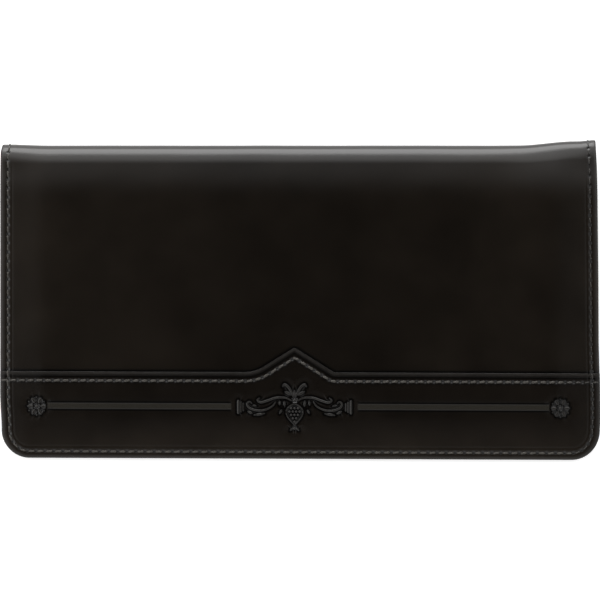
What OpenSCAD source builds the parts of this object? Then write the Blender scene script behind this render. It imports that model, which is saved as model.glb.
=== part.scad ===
// Checkbook cover: a leather shell that folds once along its long side, lined, with stiffened panels,
// a pocket inside each panel and a sewn band with pressed ornament over the lower part of the front.
// It lies closed with the front up: X runs along the fold, +Y points to the fold, Z is up from the
// face that it lies on. Depths are measured from the raised outer face of a panel inwards.

/* [Cover] */
// Width of the cover, along the fold
cover_w = 168.3; // [150:0.1:190]
// Size of the closed cover from the free edges to the fold
cover_d = 88.2; // [84:0.1:110]
// Outer radius of the fold, half the closed thickness without the band
fold_r = 5.25; // [5:0.05:8]
// Radius of the two corners at the free edges
corner_r = 7.9; // [5:0.1:12]
// Gap left between the parts of the shell at each crease of the fold
crease_gap = 0.1; // [0.05:0.01:0.3]

/* [Leather] */
// Thickness of the outer leather
leather_t = 1; // [0.8:0.1:1.2]
// Width of the flat border that is sewn through
border_w = 3; // [2.8:0.1:3.8]
// Width of the slope from the border up to the raised middle
slope_w = 0.8; // [0.4:0.1:1]
// Chamfer of the burnished cut edges
edge_cut = 0.2; // [0.05:0.01:0.3]

/* [Stiffening] */
// Thickness of the stiffener boards, which is how far the middle stands above the border
board_t = 0.5; // [0.4:0.05:0.6]
// Play round each board
board_play = 0.2; // [0.1:0.05:0.5]
// Width of the reinforcement strip, measured round the crown of the fold
strip_w = 5; // [3:0.1:5.5]

/* [Lining] */
// Thickness of the lining
lining_t = 0.25; // [0.15:0.05:0.35]
// How far the lining stays back from the cut edge of the leather
lining_in = 0.4; // [0.1:0.1:0.8]

/* [Pockets] */
// Thickness of the pocket leather
pocket_t = 0.7; // [0.6:0.05:0.8]
// Room in each pocket for a card back
pocket_room = 0.4; // [0.3:0.05:0.5]
// Height of the check pocket from the free edge to its mouth
check_pocket_h = 62; // [50:0.5:70]
// Height of the register pocket from the free edge to its mouth
register_pocket_h = 62; // [50:0.5:70]
// Distance of the creased line from a pocket's mouth
mouth_line_in = 1.4; // [1:0.1:2]
// Width of the creased line along a pocket's mouth
mouth_line_w = 0.5; // [0.3:0.1:0.6]
// Depth of the creased line along a pocket's mouth
mouth_line_d = 0.15; // [0.1:0.01:0.3]

/* [Band] */
// Thickness of the band's leather
band_t = 0.7; // [0.6:0.05:1]
// Height of the band from the free edge to its straight upper edge
band_h = 23.9; // [22:0.1:30]
// Sideways place of the peak and of the ornament from the middle of the cover
peak_x = -1.6; // [-4:0.1:4]
// Width of the peak at its foot
peak_w = 22.2; // [18:0.1:28]
// Height of the peak above the band's straight edge
peak_h = 7; // [5:0.1:9]
// Radius on the peak's tip
tip_r = 1.2; // [0.6:0.1:2]
// Radius of the sweep at the peak's left foot
left_foot_r = 10; // [2:0.1:12]
// Radius of the sweep at the peak's right foot
right_foot_r = 1.5; // [1:0.1:12]

/* [Pressed ornament] */
// Depth of the pressing
press_d = 0.25; // [0.15:0.01:0.35]
// Height of the ornament's middle line above the free edge
ornament_y = 14.5; // [13.5:0.1:16]
// Distance from the ornament's middle to the inner end of each rail
rail_start = 17.7; // [17.4:0.1:30]
// Distance from the ornament's middle to the outer end of each rail
rail_end = 71; // [60:0.1:72]
// Width of a rail over both of its lines
rail_w = 1.9; // [1.5:0.1:2.2]
// Width of each line of a rail
rail_line_w = 0.5; // [0.3:0.05:0.6]
// Distance of a petal flower's middle from the outer end of its rail
flower_gap = 2; // [1.7:0.1:2.5]
// Radius of the flower's boss
boss_r = 0.65; // [0.4:0.05:0.8]
// Length of a petal
petal_l = 2.3; // [1.5:0.1:2.6]
// Width of a petal
petal_w = 1.3; // [0.8:0.1:1.3]
// Height of the broad collar beside each scroll
collar_h = 4; // [3:0.1:4.6]
// Width of the broad collar
collar_w = 0.8; // [0.5:0.05:0.9]
// Height of the narrow collar
inner_collar_h = 2.9; // [2:0.1:4]
// Width of the narrow collar
inner_collar_w = 0.6; // [0.4:0.05:0.7]
// Distance of a scroll's middle from the middle of the ornament
scroll_x = 8; // [7.8:0.1:8.2]
// Length of each scroll's stroke from eye to eye
scroll_l = 23; // [18:0.5:24]
// Width of a scroll's stroke in its middle
stroke_w = 0.9; // [0.5:0.05:1]
// Width of a scroll's stroke at its eyes
eye_w = 0.35; // [0.25:0.05:0.4]
// Length of the leaflets beside each scroll
leaflet_l = 2.8; // [2:0.1:2.9]
// Width of the leaflets
leaflet_w = 1; // [0.6:0.05:1.1]
// Length of the bud
bud_l = 5.8; // [4.6:0.1:6]
// Width of the bud
bud_w = 4.2; // [2.6:0.1:4.4]
// Length of the bare heart of the bud
heart_l = 3.6; // [2.5:0.1:4]
// Width of the bare heart of the bud
heart_w = 1.9; // [1:0.1:2.2]
// Length of the drop under the bud
drop_l = 2.2; // [1.5:0.1:2.5]
// Width of the drop
drop_w = 1; // [0.6:0.1:1.2]
// Radius of the bead over the bud
bead_r = 0.45; // [0.3:0.05:0.5]
// Length of the tallest leaf of the fan
fan_l = 4; // [3.5:0.1:4.1]
// Width of the leaves of the fan
fan_leaf_w = 1.15; // [0.7:0.05:1.2]
// Bare leather left between neighbouring parts of the ornament
motif_gap = 0.4; // [0.3:0.05:0.45]

/* [Stitching] */
// Distance from one stitch to the next
stitch_pitch = 2.35; // [2.2:0.05:3]
// Length of a stitch on the surface
stitch_l = 1.75; // [1.2:0.05:1.9]
// Width of the thread
thread_w = 0.5; // [0.3:0.05:0.7]
// Height of a stitch above the leather
thread_h = 0.25; // [0.15:0.05:0.3]
// Distance of the perimeter seam from the cut edge
seam_in = 2; // [1.6:0.1:2.2]
// Distance of the band's seam from its upper edge
band_seam_in = 1.95; // [1.6:0.05:2.5]
// Distance of the hem seam from a pocket's mouth
hem_seam_in = 3; // [2.6:0.1:5]

/* [Hidden] */

leather_color = [0.09, 0.08, 0.07];
band_color = [0.07, 0.06, 0.05];
board_color = [0.55, 0.48, 0.38];
lining_color = [0.16, 0.15, 0.15];
pocket_color = [0.12, 0.11, 0.1];
thread_color = [0.2, 0.19, 0.18];

// The flat panels end where the fold begins
fold_y = cover_d / 2 - fold_r;
free_y = -cover_d / 2;
corner_y = free_y + corner_r;
raised_in = border_w + slope_w;
// Angles round the fold from the back panel to the front panel, with a crease at each eighth turn
crease_deg = 45;
gap_deg = crease_gap / 2 / fold_r * 180 / PI;
strip_deg = strip_w / fold_r * 180 / PI;
// Depths of the layers under the raised middle
board_depth = leather_t;
lining_depth = board_depth + board_t;
pocket_depth = lining_depth + lining_t + pocket_room;
// The rim sits lower than the raised middle by the board's thickness
rim_drop = board_t;

// Profiles across a cut edge, as [distance from the edge, depth]. The rim runs from the inner end of
// the slope round the burnished edge and back to the slope on the outer face.
function rim(top, thick, drop) = [
    [raised_in, top + thick],
    [border_w, top + thick + drop],
    [edge_cut, top + thick + drop],
    [0, top + thick + drop - edge_cut],
    [0, top + drop + edge_cut],
    [edge_cut, top + drop],
    [border_w, top + drop],
    [raised_in, top]];

function across(edge) = concat(
    [for (p = edge) [p[0] - cover_w / 2, p[1]]],
    [for (i = [len(edge) - 1 : -1 : 0]) [cover_w / 2 - edge[i][0], edge[i][1]]]);

function lining_rim() = [
    [lining_in, lining_depth + lining_t],
    [lining_in, lining_depth]];

// A sheet with one profile along both sides and the free edge, up to y_end
module sheet(edge, y_end) {
    inner = edge[0][1];
    outer = edge[len(edge) - 1][1];
    strip = concat(edge, [[corner_r, outer], [corner_r, inner]]);
    translate([0, y_end, 0])
        rotate([90, 0, 0])
            linear_extrude(y_end - corner_y)
                polygon(across(edge));
    translate([corner_r - cover_w / 2, free_y, 0])
        rotate([90, 0, 90])
            linear_extrude(cover_w - 2 * corner_r)
                polygon(strip);
    for (side = [-1, 1])
        translate([side * (cover_w / 2 - corner_r), corner_y, 0])
            rotate([0, 0, side > 0 ? -90 : 180])
                rotate_extrude(angle = 90, $fn = 96)
                    polygon([for (p = strip) [corner_r - p[0], p[1]]]);
}

// The same profile carried round the fold between two angles
module fold_part(edge, from, to) {
    translate([0, fold_y, fold_r])
        rotate([0, 90, 0])
            rotate([0, 0, from])
                rotate_extrude(angle = to - from, $fn = 96)
                    polygon([for (p = across(edge)) [fold_r - p[1], p[0]]]);
}

// The front panel is the back panel turned over in the middle of the thickness
module over() {
    translate([0, 0, 2 * fold_r])
        mirror([0, 0, 1])
            children();
}

module panel_leather() {
    edge = rim(0, leather_t, rim_drop);
    union() {
        sheet(edge, fold_y);
        fold_part(edge, 0, crease_deg - gap_deg);
    }
}

module panel_lining() {
    union() {
        sheet(lining_rim(), fold_y);
        fold_part(lining_rim(), 0, crease_deg - gap_deg);
    }
}

// A board lies in the tray that the slopes of the leather leave, and stops where the fold begins
module panel_board() {
    in = raised_in + board_play;
    r = corner_r - in;
    translate([0, 0, board_depth])
        linear_extrude(board_t)
            union() {
                translate([in - cover_w / 2, free_y + in + r])
                    square([cover_w - 2 * in, fold_y - board_play - free_y - in - r]);
                translate([in + r - cover_w / 2, free_y + in])
                    square([cover_w - 2 * (in + r), r + 1]);
                for (side = [-1, 1])
                    translate([side * (cover_w / 2 - in - r), free_y + in + r])
                        circle(r = r, $fn = 64);
            }
}

// A pocket is sewn down on three sides and stands off the lining for a card back
module pocket(height) {
    mouth = free_y + height;
    line_y = mouth - mouth_line_in;
    difference() {
        sheet(rim(pocket_depth, pocket_t, -pocket_room), mouth);
        translate([-cover_w, line_y - mouth_line_w / 2, pocket_depth + pocket_t - mouth_line_d])
            cube([2 * cover_w, mouth_line_w, mouth_line_d + 1]);
    }
}

// Paths are lists of points, with each corner rounded to the radius of the same place in radii
function unit(v) = v / norm(v);

function rounded_corner(a, b, c, r) = let (
    u = unit(a - b),
    v = unit(c - b),
    half = acos(u * v) / 2,
    middle = b + unit(u + v) * r / sin(half),
    from = b + u * r / tan(half) - middle,
    start = atan2(from[1], from[0]),
    turn = (180 - 2 * half) * (cross(u, v) > 0 ? -1 : 1),
    steps = 8)
    [for (i = [0 : steps]) middle + r * [cos(start + turn * i / steps), sin(start + turn * i / steps)]];

function rounded(points, radii) = [for (i = [0 : len(points) - 1])
    each radii[i] > 0 ? rounded_corner(points[i - 1], points[i], points[i + 1], radii[i]) : [points[i]]];

function distances(path) = [for (i = 0, s = 0; i < len(path);
    s = s + (i < len(path) - 1 ? norm(path[i + 1] - path[i]) : 0), i = i + 1) s];

// Seams. A stitch lies on the leather and leans back at both ends, where it enters its hole.
module stitch(length, out) {
    lean = thread_h;
    rotate([90, 0, 0])
        linear_extrude(thread_w, center = true)
            polygon([[0, 0], [length, 0], [length - lean, out * thread_h], [lean, out * thread_h]]);
}

// Stitches along a path on a face at one depth, and at another depth where they are below limit_y
module seam(path, out, depth, limit_y = -1000, depth_below = 0) {
    run = distances(path);
    x_at = [for (i = [0 : len(path) - 1]) [run[i], path[i][0]]];
    y_at = [for (i = [0 : len(path) - 1]) [run[i], path[i][1]]];
    count = floor(run[len(run) - 1] / stitch_pitch);
    step = run[len(run) - 1] / count;
    for (i = [0 : count - 1]) {
        from = (i + 0.5) * step - stitch_l / 2;
        a = [lookup(from, x_at), lookup(from, y_at)];
        b = [lookup(from + stitch_l, x_at), lookup(from + stitch_l, y_at)];
        translate([a[0], a[1], min(a[1], b[1]) < limit_y ? depth_below : depth])
            rotate([0, 0, atan2(b[1] - a[1], b[0] - a[0])])
                stitch(norm(b - a), out);
    }
}

function perimeter() = rounded([
    [seam_in - cover_w / 2, fold_y],
    [seam_in - cover_w / 2, free_y + seam_in],
    [cover_w / 2 - seam_in, free_y + seam_in],
    [cover_w / 2 - seam_in, fold_y]],
    [0, corner_r - seam_in, corner_r - seam_in, 0]);

// Stitches of the side seams round the fold between two angles
module fold_seam(from, to) {
    r = fold_r - rim_drop;
    count = floor((to - from) / 180 * PI * r / stitch_pitch);
    for (side = [-1, 1])
        for (i = [0 : count - 1])
            translate([side * (cover_w / 2 - seam_in), fold_y, fold_r])
                rotate([from + (to - from) * (i + 0.5) / count, 0, 0])
                    translate([0, -stitch_l / 2, -r])
                        rotate([0, 0, 90])
                            stitch(stitch_l, -1);
}

// Both faces of a panel's perimeter seam: outside on the border, where the band may lie on it, and
// inside on the lining, or on the pocket below its mouth
module panel_seam(pocket_h, overlay_h, overlay_t) {
    inside = lining_depth + lining_t;
    seam(perimeter(), -1, rim_drop, free_y + overlay_h, rim_drop - overlay_t);
    seam(perimeter(), 1, inside, free_y + pocket_h, inside + pocket_t);
    fold_seam(0, crease_deg);
}

module hem_seam(pocket_h) {
    reach = cover_w / 2 - raised_in;
    y = free_y + pocket_h - hem_seam_in;
    seam([[-reach, y], [reach, y]], 1, pocket_depth + pocket_t);
}

// The band's upper edge, or a line at some distance below it
function band_line(below, left_r, tip, right_r) = let (
    slope = atan2(peak_h, peak_w / 2),
    y = free_y + band_h - below,
    shift = below * tan(slope / 2))
    rounded([
        [-cover_w / 2, y],
        [peak_x - peak_w / 2 + shift, y],
        [peak_x, free_y + band_h + peak_h - below / cos(slope)],
        [peak_x + peak_w / 2 - shift, y],
        [cover_w / 2, y]],
        [0, left_r, tip, right_r, 0]);

module band_blank() {
    edge = band_line(0, left_foot_r, tip_r, right_foot_r);
    peak = [for (p = edge) if (abs(p[0]) < cover_w / 2 - raised_in) p];
    foot_y = free_y + band_h - peak_h / 2;
    union() {
        sheet(rim(-band_t, band_t, rim_drop), free_y + band_h);
        translate([0, 0, -band_t])
            linear_extrude(band_t)
                polygon(concat([[peak[0][0], foot_y]], peak, [[peak[len(peak) - 1][0], foot_y]]));
    }
}

// Pressed ornament, drawn round its middle with +Y up: two rails that end in small flowers, and
// between them a bud under a fan of leaves, with a scroll on each side
function leaf(length, width) = let (steps = 7) concat(
    [for (i = [0 : steps]) [width / 2 * sin(180 * i / steps), length * i / steps]],
    [for (i = [steps - 1 : -1 : 1]) [-width / 2 * sin(180 * i / steps), length * i / steps]]);

// A scroll curls evenly tighter from its middle to both eyes, in opposite turns
function scroll_line(turns) = let (
    steps = 48,
    ds = scroll_l / steps)
    [for (i = 0, p = [0, 0], h = turns * 360; i <= steps;
        p = p + ds * [cos(h), sin(h)], i = i + 1, h = turns * 360 * pow(2 * (i + 0.5) / steps - 1, 2)) [p, h]];

function scroll(turns) = let (
    line = scroll_line(turns),
    last = len(line) - 1,
    middle = line[last / 2][0])
    concat(
        [for (i = [0 : last]) line[i][0] - middle + stroke(i / last) / 2 * [-sin(line[i][1]), cos(line[i][1])]],
        [for (i = [last : -1 : 0])
            line[i][0] - middle - stroke(i / last) / 2 * [-sin(line[i][1]), cos(line[i][1])]]);

function stroke(t) = eye_w + (stroke_w - eye_w) * sin(180 * t);

module rail() {
    difference() {
        translate([rail_start, -rail_w / 2])
            square([rail_end - rail_start, rail_w]);
        translate([rail_start + rail_line_w, rail_line_w - rail_w / 2])
            square([rail_end - rail_start - 2 * rail_line_w, rail_w - 2 * rail_line_w]);
    }
}

module flower() {
    petal_angle = 48;
    circle(r = boss_r, $fn = 24);
    for (i = [-2 : 2])
        rotate(i * petal_angle - 90)
            translate([0, boss_r + motif_gap])
                polygon(leaf(petal_l, petal_w));
}

module collars() {
    broad_x = rail_start - 4 * motif_gap - collar_w;
    narrow_x = broad_x - 1.5 * motif_gap - inner_collar_w;
    translate([broad_x, -collar_h / 2])
        square([collar_w, collar_h]);
    translate([narrow_x, -inner_collar_h / 2])
        square([inner_collar_w, inner_collar_h]);
}

// The bead sits over the bud, the fan of leaves springs from the bead, and the drop hangs below
module bud() {
    fan_angle = 35;
    bead_y = bud_l / 2;
    bud_y = bead_y - bead_r - motif_gap - bud_l;
    difference() {
        translate([0, bud_y])
            polygon(leaf(bud_l, bud_w));
        translate([0, bud_y + (bud_l - heart_l) / 2])
            polygon(leaf(heart_l, heart_w));
    }
    translate([0, bud_y - motif_gap - drop_l])
        polygon(leaf(drop_l, drop_w));
    translate([0, bead_y])
        circle(r = bead_r, $fn = 24);
    for (i = [-2 : 2])
        translate([0, bead_y])
            rotate(i * fan_angle)
                translate([0, bead_r + motif_gap])
                    polygon(leaf(fan_l * (1 - 0.175 * abs(i)), fan_leaf_w));
}

// One leaflet lies over the outer half of each scroll and one under its inner half
module scroll_arm() {
    turns = 1.2;
    lean = -60;
    leaflet_angle = -62;
    translate([scroll_x, 0]) {
        rotate(lean)
            polygon(scroll(turns));
        for (half_turn = [0, 180])
            rotate(leaflet_angle + half_turn)
                translate([0.1 * leaflet_l, stroke_w + 2 * motif_gap])
                    polygon(leaf(leaflet_l, leaflet_w));
    }
}

module ornament() {
    bud();
    for (side = [0, 1])
        mirror([side, 0]) {
            scroll_arm();
            collars();
            rail();
            translate([rail_end + flower_gap, 0])
                flower();
        }
}

module back_leather() {
    color(leather_color)
        panel_leather();
}

module back_board() {
    color(board_color)
        panel_board();
}

module back_lining() {
    color(lining_color)
        panel_lining();
}

module check_pocket() {
    color(pocket_color)
        pocket(check_pocket_h);
}

module back_edge_thread() {
    color(thread_color)
        panel_seam(check_pocket_h, 0, 0);
}

module check_pocket_thread() {
    color(thread_color)
        hem_seam(check_pocket_h);
}

module spine_leather() {
    color(leather_color)
        fold_part(rim(0, leather_t, rim_drop), crease_deg + gap_deg, 180 - crease_deg - gap_deg);
}

// The strip fills the space between leather and lining at the crown of the fold
module spine_strip() {
    half_w = cover_w / 2 - raised_in - board_play;
    color(board_color)
        translate([0, fold_y, fold_r])
            rotate([0, 90, 0])
                rotate([0, 0, 90 - strip_deg / 2])
                    rotate_extrude(angle = strip_deg, $fn = 96)
                        translate([fold_r - board_depth - board_t, -half_w])
                            square([board_t, 2 * half_w]);
}

module spine_lining() {
    color(lining_color)
        fold_part(lining_rim(), crease_deg + gap_deg, 180 - crease_deg - gap_deg);
}

module spine_edge_thread() {
    color(thread_color)
        fold_seam(crease_deg, 180 - crease_deg);
}

module front_leather() {
    color(leather_color)
        over()
            panel_leather();
}

module front_band() {
    color(band_color)
        over()
            difference() {
                band_blank();
                translate([peak_x, free_y + ornament_y, -band_t - 1])
                    linear_extrude(1 + press_d)
                        ornament();
            }
}

module front_board() {
    color(board_color)
        over()
            panel_board();
}

module front_lining() {
    color(lining_color)
        over()
            panel_lining();
}

module register_pocket() {
    color(pocket_color)
        over()
            pocket(register_pocket_h);
}

module front_edge_thread() {
    color(thread_color)
        over()
            panel_seam(register_pocket_h, band_h, band_t);
}

module band_thread() {
    reach = cover_w / 2 - raised_in;
    line = band_line(band_seam_in, left_foot_r + band_seam_in, 0, right_foot_r + band_seam_in);
    inner = [for (p = line) [max(-reach, min(reach, p[0])), p[1]]];
    color(thread_color)
        over()
            seam(inner, -1, -band_t);
}

module register_pocket_thread() {
    color(thread_color)
        over()
            hem_seam(register_pocket_h);
}

back_leather();
back_board();
back_lining();
check_pocket();
back_edge_thread();
check_pocket_thread();
spine_leather();
spine_strip();
spine_lining();
spine_edge_thread();
front_leather();
front_band();
front_board();
front_lining();
register_pocket();
front_edge_thread();
band_thread();
register_pocket_thread();
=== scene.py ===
from functools import partial
import math

import bmesh
import bpy
import numpy as np
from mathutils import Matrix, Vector
from mathutils.geometry import delaunay_2d_cdt


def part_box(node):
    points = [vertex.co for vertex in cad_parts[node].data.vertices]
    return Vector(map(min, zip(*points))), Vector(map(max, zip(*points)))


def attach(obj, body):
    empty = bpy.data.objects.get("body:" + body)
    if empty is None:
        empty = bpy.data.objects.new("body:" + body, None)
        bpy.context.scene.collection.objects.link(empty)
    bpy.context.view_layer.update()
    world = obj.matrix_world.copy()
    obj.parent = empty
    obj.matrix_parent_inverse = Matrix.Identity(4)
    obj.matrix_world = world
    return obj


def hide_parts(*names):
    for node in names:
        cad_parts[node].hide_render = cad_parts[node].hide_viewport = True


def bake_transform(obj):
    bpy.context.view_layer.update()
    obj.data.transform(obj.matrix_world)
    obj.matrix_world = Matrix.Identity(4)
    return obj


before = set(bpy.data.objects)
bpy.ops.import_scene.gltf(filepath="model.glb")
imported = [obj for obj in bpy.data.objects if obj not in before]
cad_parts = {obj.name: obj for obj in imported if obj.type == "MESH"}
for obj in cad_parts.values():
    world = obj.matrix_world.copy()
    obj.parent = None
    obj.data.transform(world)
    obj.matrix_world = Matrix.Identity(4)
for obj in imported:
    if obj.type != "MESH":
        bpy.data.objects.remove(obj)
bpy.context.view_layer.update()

MM = 0.001
join = np.concatenate


def box_mm(node):
    low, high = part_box(node)
    return np.array(low) / MM, np.array(high) / MM


# Sizes read from the frame
leather_low, leather_high = box_mm("back_leather")
WIDTH = leather_high[0] - leather_low[0]
HALF_W = WIDTH / 2
FREE_Y = leather_low[1]
FOLD_R = box_mm("front_leather")[1][2] / 2
CROWN_Y = box_mm("spine_leather")[1][1]
FOLD_Y = CROWN_Y - FOLD_R
FLAT = FOLD_Y - FREE_Y
MID = FLAT + FOLD_R * math.pi / 2
POCKET_NODES = {"back": "check_pocket", "front": "register_pocket"}
POCKET_H = {side: box_mm(name)[1][1] - FREE_Y for side, name in POCKET_NODES.items()}

# Sizes that the frame's parts were made with
CORNER_R = 7.9
LEATHER_T = 1.0
BORDER_W = 3.0
LINING_DEPTH = 1.5
LINING_T = 0.25
LINING_FACE = LINING_DEPTH + LINING_T
LINING_IN = 0.4
POCKET_T = 0.7
POCKET_ROOM = 0.4
BAND_T = 0.7
PEAK_X = -1.6
PEAK_W = 22.2
PEAK_H = 7.0
TIP_R = 1.2
LEFT_FOOT_R = 10.0
RIGHT_FOOT_R = 1.5
SEAM_IN = 2.0
HEM_SEAM_IN = 3.0
MOUTH_LINE_IN = 1.4

# Sizes taken from the photo: the band's height, the seams, the ornament, and how flat the fold is pressed
BAND_H = 24.15
BAND_SEAM_IN = 2.48
EDGE_PITCH = 2.55
STITCH_PITCH = 2.44
ORNAMENT_V = 14.5
PRESS_SLOPE = 0.4
RAIL_HALF = 0.78
RAIL_UP = 0.14
RAIL_START = 17.7
RAIL_END = (69.3, 71.4)
FLOWERS = (-72.3, 74.5)
LEAN_RUN = 13.0
LEAN_TAIL = 4.0
LEAN_DEG = 9.0

# Edges that turn more than this show as creases
SHARP_DEG = 38

# Sizes of the leather's marks: the depths of the seam's furrow and needle holes, and the reach of the
# painted shade in the holes
FURROW = 0.07
HOLE = 0.17
EDGE_HOLE_SHADE_R = 0.46
BAND_HOLE_SHADE_R = 0.4


# Curves and steps

def smooth(t):
    t = np.clip(t, 0, 1)
    return t * t * (3 - 2 * t)


def unit(way):
    return way / np.linalg.norm(way, axis=-1, keepdims=True)


def dip(distance, width):
    """1 in the middle of a soft groove or pit, falling to 0 over its width."""
    return np.exp(-(distance / width) ** 2)


# The hand of the maker: the sides draw in toward the fold, and nothing is quite square

def drawn_in(y):
    """How far the right side lies inside the nominal edge at a height y."""
    return np.interp(y, [-30, -22, -19, -16, -11, 6, 17, 29, 37, 42, CROWN_Y],
                     [0, 0.08, 0.2, 0.3, 0.42, 0.5, 0.62, 0.74, 0.88, 1.1, 1.14])


def hand_shift(x, y):
    """Sideways and up-down shift of the closed cover's points, in plan."""
    right = smooth((x - 30) / (HALF_W - 30))
    left = smooth((-x - 60) / (HALF_W - 60))
    near_fold = smooth((y - (CROWN_Y - 22)) / 20)
    low_left = 0.42 * smooth((-26 - y) / 10) * smooth((-x - 70) / 12)
    low_right = -0.28 * smooth((-32 - y) / 8) * smooth((x - 70) / 12)
    dx = -drawn_in(y) * right + 0.4 * left * smooth((y - (CROWN_Y - 3)) / 3) + low_left + low_right
    sag = -0.16 + 0.45 * np.clip((-x - 72) / 11.5, 0, 1)
    sag = sag + 1.25 * smooth((x - 62) / 17) + 0.5 * smooth((x - 79) / 5)
    tilt = -0.35 * x / HALF_W * smooth((20 - y) / 40) + 0.12 * dip(y + 19, 8)
    return dx, sag * near_fold + tilt


LEAN_V = np.linspace(FLAT - LEAN_RUN, FLAT + LEAN_TAIL, 240)
LEAN_SHARE = np.where(LEAN_V < FLAT, smooth((LEAN_V - FLAT + LEAN_RUN) / LEAN_RUN),
                      1 - smooth((LEAN_V - FLAT) / LEAN_TAIL))
LEAN_DEPTH = np.cumsum(math.tan(math.radians(LEAN_DEG)) * LEAN_SHARE) * (LEAN_V[1] - LEAN_V[0])


def lean_in(x, v):
    """How much the cover is pressed flatter toward its fold than the boards hold it elsewhere."""
    return np.interp(v, LEAN_V, LEAN_DEPTH) * (1 + 0.45 * smooth((x - 52) / 22))


def P(side, x, v, depth):
    """Points of the closed cover, in metres, from x, v and depth."""
    bend = np.clip(v - FLAT, 0, None) / FOLD_R
    r = FOLD_R - depth
    y = FREE_Y + np.minimum(v, FLAT) + r * np.sin(bend)
    z = FOLD_R - (r - lean_in(x, v)) * np.cos(bend)
    if side == "front":
        z = 2 * FOLD_R - z
    dx, dy = hand_shift(x, y)
    return np.stack([x + dx, y + dy, z], 1) * MM


# Distances on a panel

def edge_distance(x, v):
    """Distance from the cut edge, along the sides and the free edge with its round corners."""
    from_side = HALF_W - np.abs(x)
    at_corner = CORNER_R - np.hypot(CORNER_R - from_side, CORNER_R - v)
    in_corner = (from_side < CORNER_R) & (v < CORNER_R)
    return np.where(in_corner, at_corner, np.minimum(from_side, v))


SEAM_R = CORNER_R - SEAM_IN
SIDE_RUN = MID - CORNER_R
CORNER_RUN = SEAM_R * math.pi / 2
SEAM_RUN = 2 * SIDE_RUN + 2 * CORNER_RUN + (WIDTH - 2 * CORNER_R)
SEAM_COUNT = round(SEAM_RUN / EDGE_PITCH)
SEAM_PITCH = SEAM_RUN / SEAM_COUNT


def seam_distance(x, v):
    """Distance run along the perimeter seam from the crown of the fold on the left side."""
    from_side = HALF_W - np.abs(x)
    side = np.where(x < 0, MID - v, SEAM_RUN - (MID - v))
    end = SIDE_RUN + CORNER_RUN + (x + HALF_W - CORNER_R)
    turned = SIDE_RUN + SEAM_R * np.arctan2(CORNER_R - v, CORNER_R - from_side)
    corner = np.where(x < 0, turned, SEAM_RUN - turned)
    in_corner = (from_side < CORNER_R) & (v < CORNER_R)
    on_side = (from_side < v) & (v >= CORNER_R)
    return np.where(in_corner, corner, np.where(on_side, side, end))


def seam_point(s, inset):
    """The point at a seam distance s and some distance inside the edge, and its heading."""
    mirror = s > SEAM_RUN / 2
    t = np.where(mirror, SEAM_RUN - s, s)
    turn = np.clip((t - SIDE_RUN) / SEAM_R, 0, math.pi / 2)
    r = CORNER_R - inset
    x = -HALF_W + CORNER_R - r * np.cos(turn) + np.clip(t - SIDE_RUN - CORNER_RUN, 0, None)
    v = np.where(t < SIDE_RUN, MID - t, CORNER_R - r * np.sin(turn))
    heading = np.stack([np.sin(turn), -np.cos(turn)], -1)
    x = np.where(mirror, -x, x)
    heading[..., 1] = np.where(mirror, -heading[..., 1], heading[..., 1])
    return x, v, heading


def band_line(below, left_r, tip_r, right_r, steps=14):
    """The band's upper edge, or a line at some distance below it, from left to right as (x, v)."""
    slope = math.atan2(PEAK_H, PEAK_W / 2)
    v = BAND_H - below
    shift = below * math.tan(slope / 2)
    tip_v = BAND_H + PEAK_H - below / math.cos(slope)
    foot = PEAK_W / 2 - shift
    corners = [(PEAK_X - foot, v, left_r), (PEAK_X, tip_v, tip_r), (PEAK_X + foot, v, right_r)]
    points = [np.array([-HALF_W, v])]
    route = [points[0]] + [np.array(c[:2]) for c in corners] + [np.array([HALF_W, v])]
    for i, (_, _, r) in enumerate(corners, 1):
        a, b, c = route[i - 1], route[i], route[i + 1]
        if r < 0.05:
            points.append(b)
            continue
        into, out = unit(a - b), unit(c - b)
        half = math.acos(into @ out) / 2
        middle = b + unit(into + out) * r / math.sin(half)
        start = b + into * r / math.tan(half) - middle
        turn = (math.pi - 2 * half) * (-1 if into[0] * out[1] - into[1] * out[0] > 0 else 1)
        a = math.atan2(start[1], start[0]) + turn * np.arange(steps + 1) / steps
        points += list(middle + r * np.stack([np.cos(a), np.sin(a)], 1))
    points.append(route[-1])
    return np.array(points)


def run_along(path):
    """The distance run from its start at each point of a path."""
    return np.append(0, np.cumsum(np.linalg.norm(np.diff(path, axis=0), axis=1)))


def at_run(path, run, s):
    """The points of a path at distances s, with the distances run at its own points."""
    return np.stack([np.interp(s, run, path[:, 0]), np.interp(s, run, path[:, 1])], 1)


def spaced(path, step):
    """The same path with points about step apart, and the distance run at each."""
    run = run_along(path)
    s = np.linspace(0, run[-1], max(2, round(run[-1] / step) + 1))
    return at_run(path, run, s), s


def path_distance(x, v, path):
    """Distance from the path, above 0 on its left, and the distance run to the nearest point."""
    signed = np.full(len(x), 1e9)
    where = np.zeros(len(x))
    run = 0.0
    for a, b in zip(path[:-1], path[1:]):
        d = b - a
        length = np.linalg.norm(d)
        t = np.clip(((x - a[0]) * d[0] + (v - a[1]) * d[1]) / length ** 2, 0, 1)
        gx, gv = x - a[0] - t * d[0], v - a[1] - t * d[1]
        distance = np.hypot(gx, gv)
        nearer = distance < np.abs(signed)
        signed = np.where(nearer, distance * np.where(d[0] * gv - d[1] * gx >= 0, 1.0, -1.0), signed)
        where = np.where(nearer, run + t * length, where)
        run += length
    return signed, where


# Depths of the leather's faces

def uneven(x, v):
    """Leather over a board is never quite flat."""
    return (0.022 * np.sin(x / 6.1 + 1.3 * np.sin(v / 9.7)) * np.sin(v / 7.3 + 0.8)
            + 0.012 * np.sin(x / 2.9 - v / 4.1 + 2.0) * np.sin(v / 3.7 + x / 11.0))


def holes(run, across, pitch, size):
    to_hole = (run / pitch - np.round(run / pitch)) * pitch
    return dip(np.hypot(to_hole, across), size)


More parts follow.
